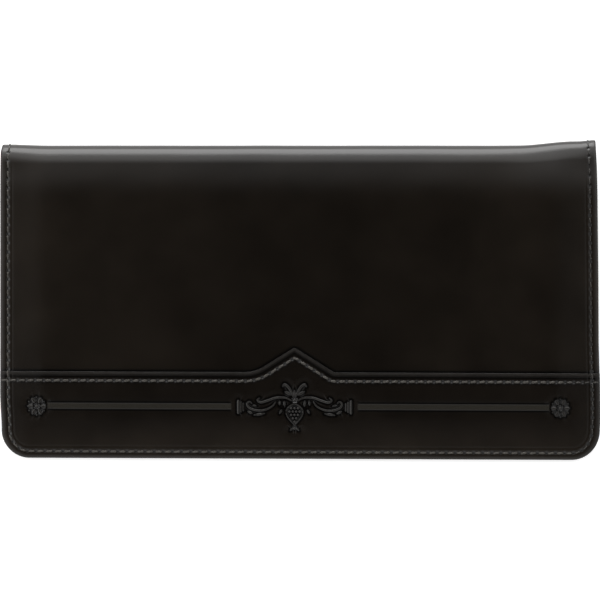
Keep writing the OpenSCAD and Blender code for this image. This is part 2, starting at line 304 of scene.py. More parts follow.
def seam_marks(run, across, pitch, size=0.34):
    """The furrow that a seam pulls in, and its needle holes."""
    return FURROW * dip(across, 0.6) + HOLE * holes(run, across, pitch, size)


def seam_inset(s):
    """The seam runs a little nearer the edge along the free edge than along the sides."""
    turn = (np.minimum(s, SEAM_RUN - s) - SIDE_RUN) / CORNER_RUN
    return SEAM_IN + 0.16 - 0.28 * smooth(turn)


def ramp(t):
    """A straight rise from 0 to 1 with soft ends."""
    t, soft = np.clip(t, 0, 1), 0.15
    end = np.where(t > 1 - soft, 1 - soft - (1 - t) ** 2 / (2 * soft), t - soft / 2)
    return np.where(t < soft, t * t / (2 * soft), end) / (1 - soft)


def border(x, v):
    """Depth of the outer face: it sinks a little from the boards to the seam, and falls to the edge."""
    e = edge_distance(x, v)
    at_fold = 1 - 0.85 * smooth((v - FLAT + 4) / 9)
    sunk = 0.48 * at_fold * (1 - ramp((e - 2.6) / 10))
    fall = (0.16 + 0.16 * at_fold) * np.clip(1 - e / BORDER_W, 0, 1) ** 1.6
    return sunk + fall + 0.035 * at_fold * dip(e - BORDER_W - 0.25, 0.3)


def edge_seam(x, v, marks=seam_marks, **given):
    s = seam_distance(x, v)
    return marks(s, edge_distance(x, v) - seam_inset(s), SEAM_PITCH, **given)


def shell_face(side, x, v):
    face = border(x, v) + edge_seam(x, v) + uneven(x, v)
    if side == "front":
        above = path_distance(x, v, BAND_EDGE)[0]
        face = face + 0.04 * np.where(above > 0, dip(above, 0.6), 1)
    return face


def shell_back(x, v):
    return np.minimum(border(x, v) + LEATHER_T, LINING_DEPTH)


BAND_EDGE = band_line(0, LEFT_FOOT_R, TIP_R, RIGHT_FOOT_R)
BAND_SEAM = band_line(BAND_SEAM_IN, LEFT_FOOT_R + BAND_SEAM_IN, 0, RIGHT_FOOT_R + BAND_SEAM_IN)
BAND_SEAM_RUN = spaced(BAND_SEAM, 0.05)[1][-1]
BAND_SEAM_COUNT = round(BAND_SEAM_RUN / STITCH_PITCH)
BAND_SEAM_PITCH = BAND_SEAM_RUN / BAND_SEAM_COUNT


# The pressed ornament, drawn round its middle: strokes with a half width at every point

def leaf(length, width, turn_deg, at, lift=0.0):
    """A leaf that points up before it is turned about at, with its base lifted off that point."""
    t = np.linspace(0, 1, 13)
    a = math.radians(turn_deg)
    way = np.array([-math.sin(a), math.cos(a)])
    line = np.array(at) + np.outer(lift + length * t, way)
    return line, width / 2 * np.sin(math.pi * t)


def vine(points, thick):
    """A thin stem that runs smoothly through its points, thickest in its middle."""
    held = np.array([points[0]] + points + [points[-1]], float)
    t = np.linspace(0, 1, 9, endpoint=False)[:, None]
    parts = []
    for a, b, c, d in zip(held[:-3], held[1:-2], held[2:-1], held[3:]):
        bend = t ** 2 * (a - 2.5 * b + 2 * c - d / 2) + t ** 3 * (3 * (b - c) + d - a) / 2
        parts.append(b + t * (c - a) / 2 + bend)
    line = join(parts + [held[-1:]])
    run = np.linspace(0, 1, len(line))
    return line, thick / 2 * (0.45 + 0.55 * np.sin(math.pi * run))


def bar(at, reach, half):
    return np.array([[at, -reach], [at, reach]], float), np.array([half, half])


def dot(at, r):
    return np.array([[at[0] - 0.01, at[1]], [at[0] + 0.01, at[1]]]), np.array([r, r])


# The right half's stems, as points and a thickness, its leaves, as length, width, turn and base, and its
# bars, as place, reach and half a width
STEMS = [
    ([(0.3, 2.9), (0.9, 4.2), (1.8, 5.6), (2.8, 6.3), (3.3, 5.7)], 0.62),
    ([(0.9, 1.8), (2.6, 2.6), (5.2, 2.6), (7.6, 1.8), (9.5, 1.3), (10.4, 1.9), (9.8, 2.5)], 0.56),
    ([(5.3, 1.5), (6.3, 0.2), (8.4, -0.8), (10.8, -0.9), (12.7, -0.2), (13.3, 0.9), (12.6, 1.5),
      (12.0, 1.0)], 0.52),
]
LEAVES = [
    (2.4, 0.7, -62, (0.8, 3.3)), (2.0, 0.55, 176, (2.9, 2.0)), (1.7, 0.5, -176, (4.1, 2.0)),
    (1.5, 0.5, -150, (3.5, -0.6)), (3.2, 0.6, -98, (8.3, -1.8)), (1.8, 0.6, -62, (11.7, -1.9)),
    (1.3, 0.45, -80, (10.6, 0.3)), (1.2, 0.45, -140, (0.5, -5.7)),
]
BARS = [(15.8, 1.7, 0.26), (15.0, 1.35, 0.17), (14.35, 1.0, 0.17)]
BEAD_ROWS = (3, 4, 3, 2, 1)
BEAD_PITCH = 0.95


def ornament():
    """Its strokes as (line, half widths), the middle ones first and then those mirrored to the left."""
    fall = np.linspace(0, 1, 17)
    swing = 2.35 * np.sin(math.pi * fall ** 0.75)
    middle = [(np.stack([side * swing, 0.95 - 5.9 * fall], 1), np.full(17, 0.13)) for side in (-1, 1)]
    for row, count in enumerate(BEAD_ROWS):
        middle += [dot(((k - (count - 1) / 2) * BEAD_PITCH, -0.3 - 0.93 * row), 0.28) for k in range(count)]
    middle += [dot((0, -5.9), 0.34), dot((0, 1.95), 0.4), leaf(2.0, 0.6, 0, (0, 2.7), 0.1)]
    for at in FLOWERS:
        middle.append(dot((at, 0.0), 0.4))
        for i in range(6):
            a = math.radians(60 * i) + 0.52
            middle.append(leaf(1.8, 0.85, 60 * i + 30, (at, 0.0), 0.95))
            middle.append(dot((at + 2.45 * math.cos(a), 2.45 * math.sin(a)), 0.2))
    mirrored = [vine(*stem) for stem in STEMS] + [leaf(*one) for one in LEAVES] + [bar(*one) for one in BARS]
    return middle, mirrored


def pressed(x, v):
    """Depth that the ornament is pressed into the band, the painted highlight on its lines and the painted
    shade round them.
    """
    u, w = x - PEAK_X, v - ORNAMENT_V
    within, half_there, off = np.full(len(x), -9.0), np.ones(len(x)), np.full(len(x), 9.0)
    middle, mirrored = ornament()
    signs = [(1,)] * len(middle) + [(1, -1)] * len(mirrored)
    for (line, half), both in zip(middle + mirrored, signs):
        reach = half.max() + 2.5
        low, high = line.min(0) - reach, line.max(0) + reach
        for sign in both:
            near = np.flatnonzero((sign * u > low[0]) & (sign * u < high[0]) & (w > low[1]) & (w < high[1]))
            if not len(near):
                continue
            distance, run = path_distance(sign * u[near], w[near], line)
            half_here = np.interp(run, run_along(line), half)
            deeper = half_here - np.abs(distance)
            closer = deeper > within[near]
            hit = near[closer]
            within[hit], half_there[hit], off[hit] = deeper[closer], half_here[closer], distance[closer]
    swell = PRESS_SLOPE * np.clip(half_there, 0.18, 0.6)
    vein = dip(off, 0.09) * smooth((within - 0.22) / 0.12)
    sunk = swell * np.where(within > 0, (off / np.maximum(half_there, 0.05)) ** 2, 1 - smooth(-within / 2.4))
    sunk = sunk + 0.03 * vein
    # Painted highlight on the pressed lines, broken up along them, and painted shade round them and in their
    # veins
    highlight_breakup = 0.17 + 0.2 * np.sin(5.1 * u + 2 * np.sin(1.7 * w)) * np.sin(6.3 * w + 1.3 * u)
    painted_highlight = highlight_breakup * smooth((within + 0.03) / 0.14) * (1 - 0.8 * vein)
    painted_shade_round_lines = np.maximum(np.where(within > 0, 0, 1 - smooth((-within - 0.15) / 0.8)), 0.8 * vein)
    from_start = np.abs(u) - RAIL_START + 0.1
    to_end = np.where(u < 0, *RAIL_END) + 0.1 - np.abs(u)
    rail_painted_highlight = (from_start > 0) & (to_end > 0) & (np.abs(w) < 1.8)
    off = np.abs(w[rail_painted_highlight] - RAIL_UP)
    end_fade = smooth(from_start[rail_painted_highlight] / 0.3) * smooth(to_end[rail_painted_highlight] / 0.3)
    wall = smooth((off - RAIL_HALF + 0.2) / 0.4) * dip(np.clip(off - RAIL_HALF - 0.2, 0, None), 0.5)
    plate = end_fade * smooth((RAIL_HALF + 0.04 - off) / 0.16)
    sunk[rail_painted_highlight] += end_fade * (0.06 * wall - 0.015 * (off < RAIL_HALF) * (1 - (off / RAIL_HALF) ** 2))
    # The rails get a painted highlight on their flat tops and painted shade along their sides
    painted_highlight[rail_painted_highlight] = 0.5 * plate
    painted_shade_round_lines[rail_painted_highlight] = np.maximum(painted_shade_round_lines[rail_painted_highlight] * (1 - plate), end_fade * dip(off - RAIL_HALF - 0.3, 0.3))
    return sunk, painted_highlight, painted_shade_round_lines


def below_edge(x, v):
    """Distance below the band's upper edge, and the marks of the seam that follows it."""
    signed, _ = path_distance(x, v, BAND_EDGE)
    across, run = path_distance(x, v, BAND_SEAM)
    return -signed, seam_marks(run, across, BAND_SEAM_PITCH, 0.28)


def band_face(x, v):
    below, marks = below_edge(x, v)
    sunk = pressed(x, v)[0]
    rolled = 0.042 * np.clip(1 - (below - 0.25) / 0.6, 0, 1) ** 2
    groove = 0.05 * dip(below - 1.3, 0.35)
    return border(x, v) - BAND_T + rolled + groove + marks + edge_seam(x, v) + 0.6 * uneven(x, v) + sunk


def band_back(x, v):
    return border(x, v) - 0.03


def pocket_back(x, v):
    """The pocket's face on the lining: sewn down at the border, and off the lining inside it."""
    return LINING_FACE + POCKET_ROOM * smooth((edge_distance(x, v) - BORDER_W) / 1.2)


def pocket_face(side, x, v):
    below = v - POCKET_H[side]
    hem = seam_marks(x + HALF_W, below + HEM_SEAM_IN, STITCH_PITCH) * (np.abs(x) < HALF_W - 3.8)
    line = 0.13 * dip(below + MOUTH_LINE_IN, 0.25)
    return pocket_back(x, v) + POCKET_T - hem - line - edge_seam(x, v) + 0.7 * uneven(x + 31, v)


def flat_at(depth):
    return lambda x, v: np.full(len(x), float(depth))


# Sheets: a face on each side and a rounded edge, cut flat where a half meets its other half

def sheet_loop(margin, top, step, bottom=None, r=None):
    """Where a sheet's rounded edge begins, from the top left down and round to the top line, as rows of
    x, v and the way out. It keeps a margin to the cover's edge, and top runs from right to left."""
    def run_to(a, b):
        return np.linspace(a, b, max(3, round(abs(b - a) / step) + 1))[1:-1]

    side_x = HALF_W - margin
    bottom = margin if bottom is None else bottom
    r = CORNER_R - margin if r is None else r
    turn = np.linspace(0, math.pi / 2, max(7, round(r * 1.6 / step)))
    cx, cv = side_x - r, bottom + r
    left = [(-side_x, v, -1, 0) for v in run_to(top[-1][1], cv)]
    turn_left = [(-cx - r * math.cos(t), cv - r * math.sin(t), -math.cos(t), -math.sin(t)) for t in turn]
    end = [(x, bottom, 0, -1) for x in run_to(-cx, cx)]
    turn_right = [(-x, v, -nx, nv) for x, v, nx, nv in turn_left[::-1]]
    right = [(side_x, v, 1, 0) for v in run_to(cv, top[0][1])]
    return np.array(left + turn_left + end + turn_right + right + top)


def top_line(xs, v=MID, up=0):
    """A straight top. At the crown of the fold it is a flat cut, with no rounding upward."""
    ways = [1] + [0] * (len(xs) - 2) + [-1]
    return [(x, v, way, up) for x, way in zip(np.sort(xs)[::-1], ways)]


def straight_top(margin, v, step):
    """A rounded top, with points about step apart."""
    side_x = HALF_W - margin
    return top_line(np.linspace(side_x, -side_x, round(2 * side_x / step) + 1), v, 1)


def thinned(points, cell):
    """Points without those that share a small cell with an earlier one."""
    keys = np.round(points / cell).astype(np.int64)
    _, first = np.unique(keys[:, 0] * 1000003 + keys[:, 1], return_index=True)
    return points[np.sort(first)]


def put(obj):
    bpy.context.scene.collection.objects.link(obj)
    return obj


def new_piece(name, points, faces, masks):
    mesh = bpy.data.meshes.new(name)
    mesh.from_pydata(points.tolist(), [], faces)
    mesh.shade_smooth()
    mesh.set_sharp_from_angle(angle=math.radians(SHARP_DEG))
    for key, value in masks.items():
        kind = "FLOAT" if value.ndim == 1 else "FLOAT_VECTOR"
        field = "value" if value.ndim == 1 else "vector"
        mesh.attributes.new(key, kind, "POINT").data.foreach_set(field, value.astype(np.float32).ravel())
    return put(bpy.data.objects.new(name, mesh))


def sheet(name, side, loop, inner_points, outer, inner, rim, mark=None):
    """A closed sheet of leather, lining or board. outer and inner give the depths of its two faces, and
    mark the masks of its points, such as where they are worn or pressed and where painted light and shade
    go."""
    around = len(loop)
    flat = np.vstack([loop[:, :2], inner_points])
    made = delaunay_2d_cdt([tuple(p) for p in flat.tolist()], [], [tuple(range(around))], 1, 1e-7)
    origin = [o[0] for o in made[3]]
    faces = [tuple(origin[i] for i in f) for f in made[2]]
    count = len(flat)
    x, v = flat.T
    low, high = outer(x, v), inner(x, v)
    rim_steps = 6 if mark else 3
    turn = np.arange(1, rim_steps)[:, None] * math.pi / rim_steps
    rim_x = loop[:, 0] + loop[:, 2] * rim * np.sin(turn)
    rim_v = loop[:, 1] + loop[:, 3] * rim * np.sin(turn)
    rim_d = low[:around] + (high - low)[:around] * (1 - np.cos(turn)) / 2
    xs = join([x, x, rim_x.ravel()])
    vs = join([v, v, rim_v.ravel()])
    ds = join([low, high, rim_d.ravel()])
    inner_faces = [(a + count, c + count, b + count) for a, b, c in faces]
    i = np.arange(around)
    j = (i + 1) % around
    rows = [i] + [2 * count + k * around + i for k in range(rim_steps - 1)] + [count + i]
    walls = join([np.stack([b[i], b[j], a[j], a[i]], 1) for a, b in zip(rows[:-1], rows[1:])])
    all_faces = faces + inner_faces + [tuple(f) for f in walls.tolist()]
    if side == "back":
        all_faces = [f[::-1] for f in all_faces]
    cut = join([np.zeros(2 * count), (np.sin(turn) * np.ones(around)).ravel()])
    masks = {"laid": np.stack([xs, vs, ds], 1) * MM, "cut": cut}
    if mark:
        masks |= {key: join([value, value, np.zeros(rim_x.size)]) for key, value in mark(x, v).items()}
    return new_piece(name, P(side, xs, vs, ds), all_faces, masks)


# Where the points lie: rows along the seam, rows round the fold, and a grid between them

SEAM_ROWS = [0.5, 0.75, 1.0, 1.25, 1.45, 1.6, 1.74, 1.87, 2.0, 2.13, 2.26, 2.4, 2.6, 2.82, 3.0, 3.15, 3.3,
             3.45, 3.65, 3.9, 4.2, 4.6, 5.1, 5.7]
POCKET_ROWS = [0.6, 1.0, 1.35, 1.6, 1.8, 2.0, 2.2, 2.4, 2.65, 3.0, 3.3, 3.6, 4.0, 4.6, 5.4]
HEM_ROWS = [0.45, 0.7, 0.95, 1.15, 1.4, 1.65, 1.9, 2.3, 2.6, 2.8, 3.0, 3.2, 3.4, 3.8, 4.5]
LINING_ROWS = [1.0, 2.2, 3.8, 5.4]
BELOW_EDGE_ROWS = [0.45, 0.6, 0.78, 0.95, 1.1, 1.25, 1.4, 1.55, 1.7, 1.9, 2.05, 2.2, 2.34, 2.48, 2.62, 2.76,
                   2.92, 3.1, 3.4, 3.9]
ABOVE_EDGE_ROWS = [-1.6, -1.2, -0.95, -0.75, -0.55, -0.35, -0.15, 0.05]
GRID_X = np.arange(-38, 39) * 2.03
FOLD_ROWS = join([[0.02, 0.055, 0.13], np.arange(0.26, MID - FLAT + 1.2, 0.135),
                  MID - FLAT + np.arange(1.7, 13, 0.75)])
PER_STITCH = 10


def grid(xs, vs):
    a, b = np.meshgrid(xs, vs)
    return np.stack([a.ravel(), b.ravel()], 1)


def inside(points, margin):
    """The points that lie further than a margin from the edge."""
    return points[edge_distance(*points.T) > margin]


def seam_strip(rows, per_stitch, top):
    """Points along the perimeter at several distances from the edge, in step with the stitches."""
    s = np.arange(1, SEAM_COUNT * per_stitch) * SEAM_PITCH / per_stitch
    strip = join([np.stack(seam_point(s, e)[:2], 1) for e in rows])
    return strip[strip[:, 1] < top]


def side_xs(rows):
    return np.array([sign * (HALF_W - e) for sign in (-1, 1) for e in rows])


def half_points(rows, per_stitch, step):
    """Points of a half of the shell or its lining, up to the crown of the fold."""
    middle = grid(GRID_X, np.arange(7, MID - FOLD_ROWS[-1] - 0.3, step))
    fold = grid(GRID_X, MID - FOLD_ROWS)
    fold_sides = grid(side_xs(rows), MID - FOLD_ROWS[FOLD_ROWS < 12])
    inner = inside(join([middle, fold]), rows[-1] + 0.4)
    return thinned(join([fold_sides, seam_strip(rows, per_stitch, MID - 12.2), inner]), 0.015)


def half_top(rows, margin):
    """The flat cut at the crown of a half that has rows of points along its sides."""
    grid_xs = GRID_X[np.abs(GRID_X) < HALF_W - rows[-1] - 0.4]
    return top_line(join([grid_xs, [margin - HALF_W, HALF_W - margin], side_xs(rows)]))


def band_row(below, step):
    """Points along a line at some distance below the band's upper edge, or above it under 0."""
    feet = max(LEFT_FOOT_R + below, 0.2), max(RIGHT_FOOT_R + below, 0.1)
    return spaced(band_line(below, feet[0], max(TIP_R - below, 0), feet[1]), step)[0]


def ornament_points():
    """A fine grid over the pressed lines, so that their walls stand clear."""
    def around(at, half_x, low, high, cell=0.11):
        xs = np.arange(at - half_x, at + half_x, cell) + PEAK_X
        return grid(xs, np.arange(low, high, cell) + ORNAMENT_V)

    fine = join([around(0, 17.3, -7.3, 8.2)] + [around(at, 3.7, -3.7, 3.7) for at in FLOWERS])
    fine = inside(fine[np.abs(pressed(*fine.T)[0]) > 0.002], 6)
    across = np.array([-1.5, -1.2, -1.02, -0.9, -0.8, -0.7, -0.6, -0.5, -0.25])
    rows = join([across, [0], -across[::-1]]) + ORNAMENT_V + RAIL_UP
    rails = []
    for sign, end in zip((-1, 1), RAIL_END):
        along = join([np.arange(17.45, 18.2, 0.12), np.arange(18.4, end - 0.7, 0.7),
                      np.arange(end - 0.5, end + 0.3, 0.12)])
        rails.append(grid(sign * along + PEAK_X, rows))
    return join([fine] + rails)


# How the leather is worn at its edges, and where light and shade are painted on it

def border_rub(x, v):
    """Handling rubs the cut edge most."""
    return 0.9 * dip(edge_distance(x, v) - 0.3, 0.35)


def painted_side_light(x, v, sides=1.0):
    """Painted light: the leather is drawn lighter toward the sides, more on the left, and toward the free
    edge.
    """
    side = 0.4 * smooth((-x - 8) / 50) + 0.3 * smooth((-x - 58) / 18) + 0.3 * smooth((x - 22) / 36)
    return np.maximum(sides * side, 0.95 * (1 - smooth((v - 2) / 11))) + 0.2 * smooth((x - 75) / 7)


def shell_marks(side, x, v):
    # Painted shade in the needle holes, and on the front a painted shadow on the shell just above the band's
    # upper edge
    painted_shade = edge_seam(x, v, holes, size=EDGE_HOLE_SHADE_R)
    if side == "front":
        above = path_distance(x, v, BAND_EDGE)[0]
        painted_shade = np.maximum(painted_shade, dip(above - 0.2, 0.45))
    polished = 1 - smooth((MID - v - 1) / 2.5)
    return {"worn": border_rub(x, v), "painted_shade": painted_shade, "painted_side_light": painted_side_light(x, v), "polished": polished}


def pocket_marks(side, x, v):
    # Painted shade in the needle holes
    return {"worn": 0.5 * dip(v - POCKET_H[side], 0.8), "painted_shade": edge_seam(x, v, holes, size=0.34)}


def band_marks(x, v):
    below = -path_distance(x, v, BAND_EDGE)[0]
    across, run = path_distance(x, v, BAND_SEAM)
    _, painted_highlight, painted_shade_round_lines = pressed(x, v)
    # Painted shade round the pressed lines, in the needle holes, in the groove below the upper edge and
    # beside the band's seam
    painted_shade = np.maximum.reduce([painted_shade_round_lines, edge_seam(x, v, holes, size=EDGE_HOLE_SHADE_R),
                              holes(run, across, BAND_SEAM_PITCH, BAND_HOLE_SHADE_R),
                              0.85 * dip(below - 1.35, 0.4), 0.6 * dip(across + 0.62, 0.22)])
    worn = np.maximum(border_rub(x, v), 0.4 * dip(below - 0.4, 0.4))
    return {"worn": worn, "pressed": painted_highlight, "painted_shade": painted_shade, "painted_side_light": painted_side_light(x, v, 0.35)}


# The sheets

def shell_half(side):
    rim = 0.3
    loop = sheet_loop(rim, half_top(SEAM_ROWS, rim), SEAM_PITCH / PER_STITCH)
    points = half_points(SEAM_ROWS, PER_STITCH, 2.1)
    if side == "front":
        points = thinned(join([points] + [band_row(b, 0.5) for b in ABOVE_EDGE_ROWS]), 0.05)
        points = inside(points, rim + 0.1)
    return sheet(side + "_shell", side, loop, points, partial(shell_face, side), shell_back, rim,
                 partial(shell_marks, side))


def lining_half(side):
    rim = 0.1
    margin = LINING_IN + rim
    loop = sheet_loop(margin, half_top(LINING_ROWS, margin), 1.0)
    points = half_points(LINING_ROWS, 1, 2.5)
    return sheet(side + "_lining_half", side, loop, points, flat_at(LINING_DEPTH + 0.01),
                 lambda x, v: LINING_FACE + 0.5 * uneven(x + 9, v), rim)


def pocket(name, side):
    rim, mouth = 0.25, POCKET_H[side]
    loop = sheet_loop(rim, straight_top(rim, mouth - rim, 0.8), SEAM_PITCH / 6)
    hem = grid(np.arange(-HALF_W + 0.6, HALF_W - 0.5, STITCH_PITCH / 6), mouth - np.array(HEM_ROWS))
    middle = inside(grid(GRID_X, np.arange(6.5, mouth - 5, 2.3)), 5.8)
    points = thinned(join([seam_strip(POCKET_ROWS, 6, mouth - 4.8), hem, middle]), 0.05)
    points = inside(points, rim + 0.12)
    points = points[points[:, 1] < mouth - rim - 0.12]
    return sheet(name, side, loop, points, pocket_back, partial(pocket_face, side), rim,
                 partial(pocket_marks, side))


def board(side):
    """The board that stiffens a cover, inside its stitched border."""
    rim = 0.12
    margin, top_v = BORDER_W + 1.0 + rim, FLAT - 0.2 - rim
    loop = sheet_loop(margin, straight_top(margin, top_v, 4.0), 3.0)
    points = grid(np.arange(-76, 77, 4.0), np.arange(8, top_v - 2, 4.0))
    return sheet(side + "_stiffener", side, loop, points, lambda x, v: shell_back(x, v) + 0.01,
                 flat_at(LINING_DEPTH - 0.01), rim)


def strip_half(side):
    """Half of the strip that stiffens the fold."""
    rim, half_strip = 0.12, 2.5
    margin = BORDER_W + 1.0 + rim
    xs = np.linspace(margin - HALF_W, HALF_W - margin, 60)
    loop = sheet_loop(margin, top_line(xs), 2.8, bottom=MID - half_strip + rim, r=0.4)
    points = grid(xs[1:-1], MID - np.arange(0.3, half_strip - rim - 0.2, 0.3))
    return sheet(side + "_strip_half", side, loop, points, flat_at(LEATHER_T + 0.01),
                 flat_at(LINING_DEPTH - 0.01), rim)


def band():
    """The front band with its peak and its pressed ornament."""
    rim = 0.09
    side_x = HALF_W - rim
    edge, _ = spaced(band_line(rim, LEFT_FOOT_R + rim, TIP_R - rim, RIGHT_FOOT_R + rim, 20), 0.3)
    edge = edge[np.abs(edge[:, 0]) < side_x - 0.1]
    way = unit(np.gradient(edge, axis=0))
    top = [(side_x, BAND_H - rim, 1, 1)]
    top += [(x, v, -ty, tx) for (x, v), (tx, ty) in zip(edge[::-1], way[::-1])]
    top += [(-side_x, BAND_H - rim, -1, 1)]
    rows = [band_row(b, 0.27) for b in BELOW_EDGE_ROWS]
    middle = join([grid(np.arange(-77, 78, 1.4), np.arange(6.5, BAND_H - 4.2, 1.4)),
                   grid(np.arange(-12, 9, 0.9), np.arange(BAND_H - 4, BAND_H + 5, 0.9))])
    strip = seam_strip(SEAM_ROWS, PER_STITCH, BAND_H)
    points = join(rows + [ornament_points(), strip, inside(middle, 6)])
    points = inside(thinned(points, 0.06), rim + 0.1)
    points = points[below_edge(*points.T)[0] > rim + 0.1]
    return sheet("pressed_band", "front", sheet_loop(rim, top, SEAM_PITCH / PER_STITCH), points, band_face,
                 band_back, rim, band_marks)


# Seams: stitches of two-ply thread that dip into their holes

rng = np.random.default_rng(7)
THREAD_SIDES = 10
THREAD_RINGS = 9
STITCH_SLANT_DEG = 4.0
STITCH_HIGH = 0.22

# Length and half the thickness of a stitch
EDGE_STITCH = (1.88, 0.28)
BAND_STITCH = (1.85, 0.31)


def stitch_run(side, x, v, heading, face, out, size=EDGE_STITCH):
    """Points of the stitches with their middles at x, v. out is -1 on the cover's outside and 1 inside."""
    length, thick = size
    n, per = len(x), THREAD_RINGS * THREAD_SIDES
    x, v, ahead_x, ahead_v = (a[:, None, None] for a in (x, v, *heading.T))
    slant = np.radians(STITCH_SLANT_DEG + rng.normal(0, 2.5, (n, 1, 1)))
    way_x = ahead_x * np.cos(slant) - ahead_v * np.sin(slant)
    way_v = ahead_x * np.sin(slant) + ahead_v * np.cos(slant)
    short = smooth((x - 72) / 8)
    length = length - 0.35 * short
    thick = thick * (1 - 0.42 * short - 0.18 * smooth((-x - 72) / 8))
    t = np.linspace(-1, 1, THREAD_RINGS)[:, None]
    around = np.arange(THREAD_SIDES) * 2 * math.pi / THREAD_SIDES
    slack = 1 + rng.normal(0, 0.06, (n, 1, 1))
    lobes = 1 + 0.15 * np.cos(2 * around - 5.5 * t + rng.uniform(0, 6.28, (n, 1, 1)))
    taper = (1 - 0.3 * t ** 6) * lobes
    lateral = thick * taper * np.cos(around)
    lift = (0.06 - 0.36 * np.abs(t) ** 4) * slack + STITCH_HIGH * taper * np.sin(around)
    along = 0 * lateral + t * length / 2
    cx, cv = x + along * way_x, v + along * way_v
    depth = face(cx.ravel(), cv.ravel()) + out * lift.ravel()
    twist = np.stack([along.ravel() + 3 * np.repeat(np.arange(n), per), (0 * lateral + around).ravel(),
                      0 * depth], 1) * MM
    points = P(side, (cx - lateral * way_v).ravel(), (cv + lateral * way_x).ravel(), depth)
    # The third output is where the thread gets painted shade: the thinner, lower stitches toward the right
    # side
    return points, twist, np.repeat(short, per)


def seam_piece(name, runs):
    """One piece from several runs of stitches."""
    points, twist, painted_thread_shade = (join(parts) for parts in zip(*runs))
    per = THREAD_SIDES * THREAD_RINGS
    ring = np.arange(THREAD_SIDES)
    turned = (ring + 1) % THREAD_SIDES
    one = []
    for a in range(0, per - THREAD_SIDES, THREAD_SIDES):
        b = a + THREAD_SIDES
        one += [tuple(q) for q in np.stack([a + ring, a + turned, b + turned, b + ring], 1).tolist()]
    one += [tuple(ring[::-1].tolist()), tuple((per - THREAD_SIDES + ring).tolist())]
    faces = [tuple(i + per * k for i in f) for k in range(len(points) // per) for f in one]
    obj = new_piece(name, points, faces, {"twist": twist, "painted_thread_shade": painted_thread_shade})
    made = bmesh.new()
    made.from_mesh(obj.data)
    bmesh.ops.recalc_face_normals(made, faces=made.faces)
    made.to_mesh(obj.data)
    made.free()
    return obj


def lapped(v, top):
    """1 below the upper edge of a piece that is laid on, and 0 above it."""
    return 1 - smooth((v - top + 0.3) / 0.7)


def edge_seam_piece(side):
    """The perimeter seam: outside on the border or the band, inside on the lining or the pocket."""
    def outside(x, v):
        on_band = BAND_T * lapped(v, BAND_H) if side == "front" else 0
        return border(x, v) + 0.05 - on_band

    def inside_face(x, v):
        return LINING_FACE - 0.03 + (POCKET_T - 0.03) * lapped(v, POCKET_H[side])

    s = (np.arange(SEAM_COUNT) + 0.5) * SEAM_PITCH
    x, v, heading = seam_point(s, seam_inset(s))
    return seam_piece(side + "_edge_seam", [stitch_run(side, x, v, heading, outside, -1),
                                            stitch_run(side, x, v, heading, inside_face, 1)])


def band_seam_piece():
    at = partial(at_run, *spaced(BAND_SEAM, 0.05))
    s = (np.arange(BAND_SEAM_COUNT) + 0.5) * BAND_SEAM_PITCH
    ahead = unit(at(s + 0.8) - at(s - 0.8))

    def face(x, v):
        return border(np.clip(x, -HALF_W + 0.2, HALF_W - 0.2), v) - BAND_T + 0.05

    return seam_piece("band_top_seam", [stitch_run("front", *at(s).T, ahead, face, -1, BAND_STITCH)])


def hem_seam_piece(name, side):
    x = (np.arange(WIDTH / STITCH_PITCH) + 0.5) * STITCH_PITCH - HALF_W
    x = x[np.abs(x) < HALF_W - BORDER_W - 1.5]
    v = np.full(len(x), POCKET_H[side] - HEM_SEAM_IN)
    heading = np.tile([1.0, 0.0], (len(x), 1))
    face = flat_at(LINING_FACE + POCKET_ROOM + POCKET_T - 0.05)
    return seam_piece(name, [stitch_run(side, x, v, heading, face, 1)])


# Materials

class Net:
    """The nodes of one material, group or world, with short ways to add and link them."""

    def __init__(self, tree):
        tree.nodes.clear()
        self.tree = tree

    def give(self, socket, value):
        """Link or set an input. A node stands for its first output, and a colour is three values."""
        if isinstance(value, bpy.types.Node):
            value = value.outputs[0]
        if isinstance(value, bpy.types.NodeSocket):
            self.tree.links.new(value, socket)
        else:
            socket.default_value = (*value, 1) if socket.type == "RGBA" else value

    def add(self, kind, inputs=None, **settings):
        """A shader node with its settings and inputs."""
        made = self.tree.nodes.new("ShaderNode" + kind)
        for key, value in settings.items():
            setattr(made, key, value)
        for key, value in (inputs or {}).items():
            self.give(made.inputs[key], value)
        return made

    def math(self, operation, a, b=0.0, c=0.0, clamp=False):
        return self.add("Math", {0: a, 1: b, 2: c}, operation=operation, use_clamp=clamp)

    def times(self, a, b, plus=0.0, clamp=False):
        return self.math("MULTIPLY_ADD", a, b, plus, clamp)

    def mix(self, factor, a, b, how="MIX"):
        mixed = self.add("Mix", {0: factor, 6: a, 7: b}, data_type="RGBA", blend_type=how)
        return mixed.outputs[2]

    def stretch(self, value, low, high, to_low=0.0, to_high=1.0):
        inputs = {"Value": value, "From Min": low, "From Max": high, "To Min": to_low, "To Max": to_high}
        return self.add("MapRange", inputs)

    def noise(self, vector, scale, detail=3.0, roughness=0.55, out=0):
        inputs = {"Vector": vector, "Scale": scale, "Detail": detail, "Roughness": roughness}
        return self.add("TexNoise", inputs).outputs[out]

    def scaled(self, vector, scale):
        return self.add("Mapping", {"Vector": vector, "Scale": scale})

    def mask(self, name, out="Fac"):
        return self.add("Attribute", attribute_name=name).outputs[out]

    def laid(self):
        """Where a point lies on the sheet as cut, so that patterns stay put as the cover opens."""
        return self.mask("laid", "Vector")

    def use(self, made_group, inputs):
        return self.add("Group", inputs, node_tree=made_group).outputs


